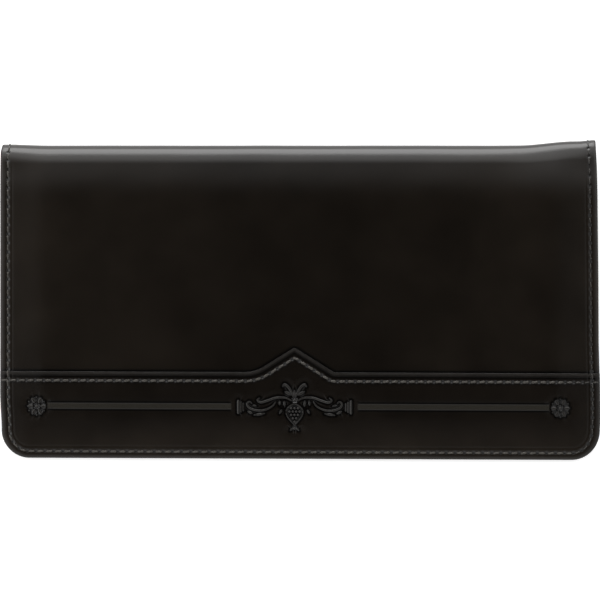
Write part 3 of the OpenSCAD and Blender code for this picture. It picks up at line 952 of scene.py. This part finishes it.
def group(name, inputs, outputs, fill):
    """A node group with sockets of these names. fill gets its nodes and inputs, and gives its outputs."""
    tree = bpy.data.node_groups.new(name, "ShaderNodeTree")
    kinds = {"Vector": "Vector", "Colour": "Color", "Worn colour": "Color"}
    for way, keys in (("INPUT", inputs), ("OUTPUT", outputs)):
        for key in keys:
            kind = "NodeSocket" + kinds.get(key, "Float")
            tree.interface.new_socket(name=key, in_out=way, socket_type=kind)
    net = Net(tree)
    given = tree.nodes.new("NodeGroupInput").outputs
    put_out = tree.nodes.new("NodeGroupOutput").inputs
    for key, value in fill(net, given).items():
        net.give(put_out[key], value)
    return tree


def fill_grain(net, given):
    """Fine pebbles parted by creases, with scattered pores."""
    at, pitch = given["Vector"], given["Pebbles per metre"]
    wander = net.noise(at, 1400.0, out=1)
    shift = net.add("VectorMath", {0: wander, "Scale": 0.0004}, operation="SCALE")
    bent = net.add("VectorMath", {0: at, 1: shift}, operation="ADD")
    cells = net.add("TexVoronoi", {"Vector": bent, "Scale": pitch}, feature="DISTANCE_TO_EDGE")
    pore = net.add("TexVoronoi", {"Vector": bent, "Scale": net.times(pitch, 0.37)})
    pores = net.stretch(pore, 0.14, 0.03)
    fine = net.noise(at, 5200.0, detail=2.0)
    height = net.times(net.stretch(cells, 0.0, 0.22), 0.55, net.times(fine, 0.6))
    return {"Height": net.times(pores, -0.7, height), "Pores": pores}


def fill_mottle(net, given):
    """Cloudy change of a colour, as in hand-finished hide."""
    cloud = net.noise(given["Vector"], net.math("DIVIDE", 1.0, given["Cloud size"]), detail=4.0)
    light = net.times(net.stretch(cloud, 0.3, 0.7, -1.0, 1.0), given["Amount"], 1.0)
    lit = net.add("CombineColor", {0: light, 1: light, 2: light})
    return {"Colour": net.mix(1.0, given["Colour"], lit, "MULTIPLY"), "Cloud": cloud}


def fill_rub(net, given):
    """Wear that shows first where a mask is high, broken up by small scuffs."""
    scuff = net.noise(given["Vector"], 700.0, detail=5.0, roughness=0.65)
    scuff = net.stretch(scuff, 0.25, 0.75, 0.6, 1.4)
    shown = net.times(net.times(given["Mask"], scuff), given["Amount"], clamp=True)
    return {"Colour": net.mix(shown, given["Colour"], given["Worn colour"]), "Rubbed": shown}


GRAIN = group("leather grain", ["Vector", "Pebbles per metre"], ["Height", "Pores"], fill_grain)
MOTTLE = group("mottle", ["Vector", "Colour", "Cloud size", "Amount"], ["Colour", "Cloud"], fill_mottle)
RUB = group("rubbed edges", ["Vector", "Colour", "Worn colour", "Mask", "Amount"], ["Colour", "Rubbed"],
            fill_rub)

# The leather's black, the tint of the painted light toward its sides, and the black of its painted shade
BLACK = (0.0044, 0.0028, 0.0014)
SIDE_LIGHT_TINT = (0.0106, 0.0077, 0.0051)
SHADE_BLACK = (0.0004, 0.0003, 0.0003)

# Between these shares of facing away, the leather turns dull and loses its coat
GRAZING = (0.38, 0.6)
GRAZING_ROUGH = 0.7
COAT = 0.12


def empty_material(name):
    material = bpy.data.materials.new(name)
    material.use_nodes = True
    return material, Net(material.node_tree)


def new_material(name, finishes):
    """A material with only its shader, which has these constant finishes."""
    material, net = empty_material(name)
    surface = net.add("BsdfPrincipled", finishes)
    net.add("OutputMaterial", {"Surface": surface})
    return material, net, surface


def wire(net, surface, colour, roughness, height, bump_mm):
    bump = net.add("Bump", {"Height": height, "Strength": 1.0, "Distance": bump_mm * MM})
    for key, value in (("Normal", bump), ("Base Color", colour), ("Roughness", roughness)):
        net.give(surface.inputs[key], value)


def leather(name, colour, worn, rail_painted_highlight, edge, pebbles, shine=0.22, bump_mm=0.006, specular=0.5):
    """Dyed and polished cowhide: mottled, rubbed along its edges and painted on its cut edges, with light
    and shade painted on it.
    """
    material, net, surface = new_material(name, {"Specular IOR Level": specular, "Coat Roughness": 0.22})
    at = net.laid()
    grain = net.use(GRAIN, {"Vector": at, "Pebbles per metre": pebbles})
    # Painted light: lighter toward the sides and the free edge
    with_side_light = net.mix(net.mask("painted_side_light"), colour, SIDE_LIGHT_TINT)
    cloudy = net.use(MOTTLE, {"Vector": at, "Colour": with_side_light, "Cloud size": 0.018, "Amount": 0.25})
    rubbed = net.use(RUB, {"Vector": at, "Colour": cloudy["Colour"], "Worn colour": worn,
                           "Mask": net.mask("worn"), "Amount": 0.8})
    # The cut edges' colour is their edge paint, drawn lighter than it is so that it also paints in the light
    # that falls on them
    shown = net.mix(net.stretch(net.mask("cut"), 0.75, 0.95), rubbed["Colour"], edge)
    # Painted highlight on the band's pressed lines and rails
    shown = net.mix(net.mask("pressed"), shown, rail_painted_highlight)
    shown = net.mix(net.times(grain["Pores"], 0.4), shown, [c * 0.5 for c in colour])
    # Painted shade in the needle holes, in grooves and round the pressed lines
    shown = net.mix(net.mask("painted_shade"), shown, SHADE_BLACK)
    rough = net.times(cloudy["Cloud"], 0.08, shine - 0.04)
    rough = net.times(rubbed["Rubbed"], 0.45, rough)
    for part, more in (("cut", 0.3), ("pressed", 0.06), ("painted_shade", -0.08)):
        rough = net.times(net.mask(part), more, rough)
    along = net.add("LayerWeight", {"Blend": 0.5}).outputs["Facing"]
    dull = net.times(net.stretch(along, *GRAZING), net.stretch(net.mask("polished"), 1.0, 0.0))
    rough = net.times(dull, GRAZING_ROUGH, rough, clamp=True)
    net.give(surface.inputs["Coat Weight"], net.stretch(dull, 0.0, 1.0, COAT, 0.0))
    wire(net, surface, shown, rough, grain["Height"], bump_mm)
    return material


def waxed_thread():
    """Two-ply thread: fine fibres run along the plies, and wax fills between them."""
    material, net, surface = new_material("waxed_thread", {"Sheen Weight": 0.15, "Sheen Roughness": 0.4})
    at = net.mask("twist", "Vector")
    wave = {"Vector": at, "Scale": 900.0, "Distortion": 2.5, "Detail": 2.0}
    fibres = net.add("TexWave", wave, bands_direction="DIAGONAL").outputs["Fac"]
    fuzz = net.noise(net.scaled(at, (1500.0, 9000.0, 1.0)), 1.0, detail=4.0)
    shade = net.times(fibres, 0.5, net.times(fuzz, 0.5))
    unshaded_thread = net.mix(shade, (0.0135, 0.0118, 0.0094), (0.061, 0.0535, 0.043))
    # Painted shade on the thinner stitches toward the right side, which catch less light
    colour = net.mix(net.times(net.mask("painted_thread_shade"), 0.55), unshaded_thread, (0.01, 0.0088, 0.007))
    wire(net, surface, colour, net.stretch(fuzz, 0.3, 0.7, 0.45, 0.62), shade, 0.03)
    return material


def woven_lining():
    """Plain weave: threads pass over and under each other about every third of a millimetre."""
    material, net, surface = new_material("woven_lining", {"Sheen Weight": 0.25, "Sheen Roughness": 0.35})
    at = net.laid()
    split = net.add("SeparateXYZ", {0: at}).outputs
    wobble = net.times(net.noise(at, 260.0), 0.0002)
    turns = math.pi / 0.00036
    warp, weft = (net.math("SINE", net.times(net.math("ADD", s, wobble), turns)) for s in split[:2])
    over = net.times(warp, weft)
    warp_up = net.times(net.math("ABSOLUTE", warp), net.stretch(over, -0.1, 0.1))
    weft_up = net.times(net.math("ABSOLUTE", weft), net.stretch(over, 0.1, -0.1))
    tall = net.math("MAXIMUM", warp_up, weft_up)
    slub = net.noise(net.scaled(at, (90.0, 2200.0, 1.0)), 1.0)
    # Painted shade: the threads that lie on top are drawn lighter, the gaps between them darker
    colour = net.mix(tall, (0.006, 0.006, 0.006), (0.028, 0.026, 0.025))
    cloudy = net.use(MOTTLE, {"Vector": at, "Colour": colour, "Cloud size": 0.01, "Amount": 0.12})
    rough = net.stretch(slub, 0.3, 0.7, 0.55, 0.75)
    wire(net, surface, cloudy["Colour"], rough, net.times(slub, 0.3, tall), 0.05)
    return material


def grey_board():
    """Pressed paper board with short fibres."""
    material, net, surface = new_material("grey_board", {"Specular IOR Level": 0.3})
    at = net.laid()
    fibre = net.noise(net.scaled(at, (1800.0, 600.0, 900.0)), 1.0, 5.0)
    colour = net.mix(net.stretch(fibre, 0.35, 0.65), (0.2, 0.16, 0.11), (0.36, 0.3, 0.22))
    cloudy = net.use(MOTTLE, {"Vector": at, "Colour": colour, "Cloud size": 0.012, "Amount": 0.1})
    wire(net, surface, cloudy["Colour"], net.stretch(fibre, 0.0, 1.0, 0.8, 0.95), fibre, 0.04)
    return material


shell_leather = leather("black_calf", BLACK, worn=(0.022, 0.019, 0.016), rail_painted_highlight=(0.018, 0.017, 0.015),
                        edge=(0.026, 0.0235, 0.02), pebbles=2300.0)
band_leather = leather("pressed_black_calf", (0.0035, 0.0021, 0.001), worn=(0.013, 0.011, 0.009),
                       rail_painted_highlight=(0.031, 0.0285, 0.0225), edge=(0.024, 0.0215, 0.0185), pebbles=2500.0)
pocket_leather = leather("thin_black_calf", (0.0075, 0.0062, 0.0052), worn=(0.022, 0.019, 0.017),
                         rail_painted_highlight=(0.02, 0.02, 0.018), edge=(0.022, 0.02, 0.018), pebbles=2800.0, shine=0.48,
                         bump_mm=0.01, specular=0.32)
thread = waxed_thread()
lining_cloth = woven_lining()
board_paper = grey_board()


# The pieces, and what each moves with

def dressed(piece, material, replaced, body=None):
    piece.data.materials.append(material)
    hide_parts(*replaced)
    if body:
        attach(piece, body)
    else:
        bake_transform(piece)
    return piece


FOLD_START = (0, FOLD_Y * MM, 0)
CROWN = (0, CROWN_Y * MM, FOLD_R * MM)
FOLD_END = (0, FOLD_Y * MM, 2 * FOLD_R * MM)
FOLDS = {"back": ("back_cover", "spine", FOLD_START, CROWN),
         "front": ("spine", "front_cover", CROWN, FOLD_END)}

for side, fold in FOLDS.items():
    def with_spine(name):
        """The side's own node, and on the back also the spine's."""
        return [side + name] + (["spine" + name] if side == "back" else [])

    body_name = side + "_cover"
    pocket_node = POCKET_NODES[side]
    dressed(shell_half(side), shell_leather, with_spine("_leather"))
    lining = dressed(lining_half(side), lining_cloth, with_spine("_lining"))
    dressed(edge_seam_piece(side), thread, with_spine("_edge_thread"))
    dressed(board(side), board_paper, [side + "_board"], body=body_name)
    dressed(strip_half(side), board_paper, ["spine_strip"])
    sewn = pocket(pocket_node + "_sheet", side)
    dressed(sewn, pocket_leather, [pocket_node], body=body_name)
    hem = hem_seam_piece(pocket_node + "_hem_seam", side)
    dressed(hem, thread, [pocket_node + "_thread"], body=body_name)

dressed(band(), band_leather, ["front_band"], body="front_cover")
dressed(band_seam_piece(), thread, ["band_thread"], body="front_cover")


# Floor, lamps and camera

def floor():
    """White to the camera and in reflections, with a soft contact shadow."""
    mesh = bpy.data.meshes.new("floor")
    mesh.from_pydata([(-6, -6, 0), (6, -6, 0), (6, 6, 0), (-6, 6, 0)], [], [(0, 1, 2, 3)])
    made = put(bpy.data.objects.new("floor", mesh))
    made.location.z = -0.0001
    material, net = empty_material("white_floor")
    path = net.add("LightPath").outputs
    seen = net.math("MAXIMUM", path["Is Camera Ray"], path["Is Glossy Ray"])
    near = net.add("AmbientOcclusion", {"Distance": 0.0022}, samples=8).outputs["AO"]
    glow = net.add("Emission", {"Color": (1, 1, 1), "Strength": net.times(near, 0.75)})
    soft = net.add("BsdfDiffuse", {"Color": (0.75, 0.75, 0.75)})
    lit = net.add("BsdfDiffuse", {"Color": (0.8, 0.8, 0.8)})
    both = net.add("AddShader", {0: glow, 1: soft})
    shown = net.add("MixShader", {0: seen, 1: lit, 2: both})
    net.add("OutputMaterial", {"Surface": shown})
    mesh.materials.append(material)


def lamp(name, place, aim, size, radiance):
    """A soft box of that radiance, facing a point."""
    data = bpy.data.lights.new(name, "AREA")
    data.shape = "RECTANGLE"
    data.size, data.size_y = size
    data.energy = radiance * math.pi * size[0] * size[1]
    made = put(bpy.data.objects.new(name, data))
    made.location = place
    made.rotation_mode = "QUATERNION"
    made.rotation_quaternion = (Vector(aim) - Vector(place)).to_track_quat("-Z", "Y")
    made.visible_camera = False


def room():
    """White near the horizon and dark overhead, as under a black ceiling."""
    world = bpy.data.worlds.new("room")
    bpy.context.scene.world = world
    world.use_nodes = True
    net = Net(world.node_tree)
    around = net.add("TexCoord").outputs["Generated"]
    across, _, up = net.add("SeparateXYZ", {0: around}).outputs
    level = net.math("SQRT", net.math("SUBTRACT", 1.0, net.times(up, up), clamp=True))
    ramp = net.add("ValToRGB", {0: level})
    for place, _ in ROOM_SHADES[1:-1]:
        ramp.color_ramp.elements.new(place)
    for element, (place, shade) in zip(ramp.color_ramp.elements, ROOM_SHADES):
        element.position = place
        element.color = (shade, shade, shade, 1)
    from_left = net.times(across, -0.3, 0.85)
    glow = net.add("Background", {"Color": ramp, "Strength": from_left})
    net.add("OutputWorld", {"Surface": glow})


# How white the room is, from straight overhead at 0 to the horizon at 1
ROOM_SHADES = [(0.0, 0.0), (0.1, 0.0), (0.2, 0.03), (0.3, 0.34), (0.6, 0.85), (0.8, 1.0)]

# Each lamp's name, place, what it faces, size and radiance, in metres
LAMPS = [
    ("low_box_behind", (0, 1.5, 0.56), (0, 0, 0.56), (1.3, 1.08), 4.8),
    ("high_box_behind", (0, 1.13, 1.13), (0, 0, 0), (1.6, 0.7), 0.85),
    ("low_box_front", (0, -1.5, 0.36), (0, 0, 0.3), (2.4, 0.6), 1.8),
    ("strip_left", (-1.1, -0.1, 0.6), (0, 0, 0), (0.35, 1.6), 0.8),
]
floor()
room()
for one_lamp in LAMPS:
    lamp(*one_lamp)

CAMERA_X, CAMERA_Y = -0.07, 0.45
SEEN_WIDTH = 168.2
CAMERA_HEIGHT = 1600.0
camera_data = bpy.data.cameras.new("camera")
camera_data.lens = camera_data.sensor_width * (CAMERA_HEIGHT - 2 * FOLD_R) / SEEN_WIDTH
camera_data.clip_start, camera_data.clip_end = 0.01, 20
camera = put(bpy.data.objects.new("camera", camera_data))
camera.location = (CAMERA_X * MM, CAMERA_Y * MM, CAMERA_HEIGHT * MM)
bpy.context.scene.camera = camera
bpy.context.scene.view_settings.view_transform = "Standard"
